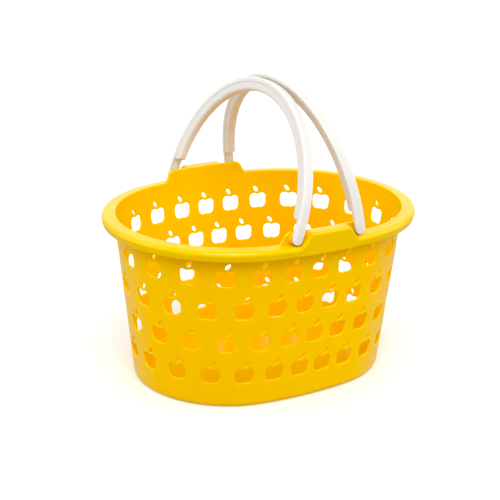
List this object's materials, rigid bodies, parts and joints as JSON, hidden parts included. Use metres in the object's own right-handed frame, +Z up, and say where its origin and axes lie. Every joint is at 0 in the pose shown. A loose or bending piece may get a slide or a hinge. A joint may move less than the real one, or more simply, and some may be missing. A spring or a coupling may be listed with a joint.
{
  "type": "shopping basket",
  "caption": "Oval moulded plastic shopping basket with apple-shaped wall holes and a pair of swing handles that fold out onto the rim.",
  "frame": {"origin": "on the surface that the basket stands on, at the middle of the basket", "axes": "+Z up, +X along the basket's length, +Y across it; the left handle is the one pivoted on the -X side"},
  "size_m": [0.3992, 0.3166, 0.3723],
  "materials": {
    "yellow_plastic": "satin moulded",
    "white_plastic": "satin moulded"
  },
  "bodies": {
    "basket": {"basket_tub": "yellow_plastic"},
    "left_handle": {"left_handle": "white_plastic"},
    "right_handle": {"right_handle": "white_plastic"}
  },
  "joints": [
    {"name": "left_handle_hinge", "type": "hinge", "parent": "basket", "child": "left_handle", "pos_m": [-0.043, 0, 0.217], "axis": [0, -1, 0], "range_deg": [0, 108]},
    {"name": "right_handle_hinge", "type": "hinge", "parent": "basket", "child": "right_handle", "pos_m": [0.043, 0, 0.217], "axis": [0, 1, 0], "range_deg": [0, 99.7]}
  ]
}
